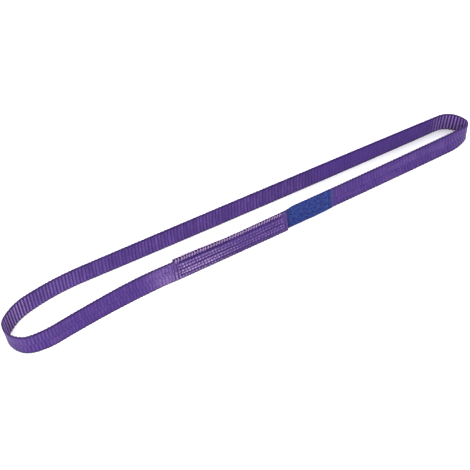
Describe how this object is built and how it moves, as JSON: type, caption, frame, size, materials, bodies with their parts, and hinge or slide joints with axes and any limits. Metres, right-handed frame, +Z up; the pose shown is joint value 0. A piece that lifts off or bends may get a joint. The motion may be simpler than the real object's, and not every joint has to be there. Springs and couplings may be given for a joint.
{
  "type": "flat web sling",
  "caption": "Endless flat lifting sling of ribbed violet polyester web with a stitched lap splice and a sewn-in blue label, standing on its edge.",
  "frame": {"origin": "on the floor under the middle of the loop's bounding box", "axes": "+X along the loop, away from the wide round end; +Y from the front leg, which carries the splice, to the back leg; +Z up the width of the web"},
  "size_m": [0.489, 0.0506, 0.0278],
  "materials": {
    "web": "ribbed woven polyester, violet",
    "thread": "polyester sewing thread, violet",
    "edge_thread": "polyester sewing thread, pale pinkish violet",
    "label": "coated blue label cloth"
  },
  "bodies": {
    "sling": {"webbing_strip": "web", "label_sewn_tail": "label", "row_1_needle_thread": "thread", "row_2_needle_thread": "thread", "row_3_needle_thread": "thread", "row_4_needle_thread": "thread", "row_5_needle_thread": "thread", "lower_edge_needle_thread": "thread", "left_end_needle_thread": "thread", "right_end_needle_thread": "thread", "row_1_bobbin_thread": "thread", "row_2_bobbin_thread": "thread", "row_3_bobbin_thread": "thread", "row_4_bobbin_thread": "thread", "row_5_bobbin_thread": "thread", "lower_edge_bobbin_thread": "thread", "left_end_bobbin_thread": "thread", "right_end_bobbin_thread": "thread", "upper_edge_needle_thread": "thread", "upper_edge_looper_thread": "edge_thread"},
    "label": {"label_flap": "label"}
  },
  "joints": [
    {"name": "label_lift", "type": "hinge", "parent": "sling", "child": "label", "pos_m": [0.03618, -0.01453, 0.00017], "axis": [0, -0.1458, -0.9893], "range_deg": [0, 100]}
  ]
}
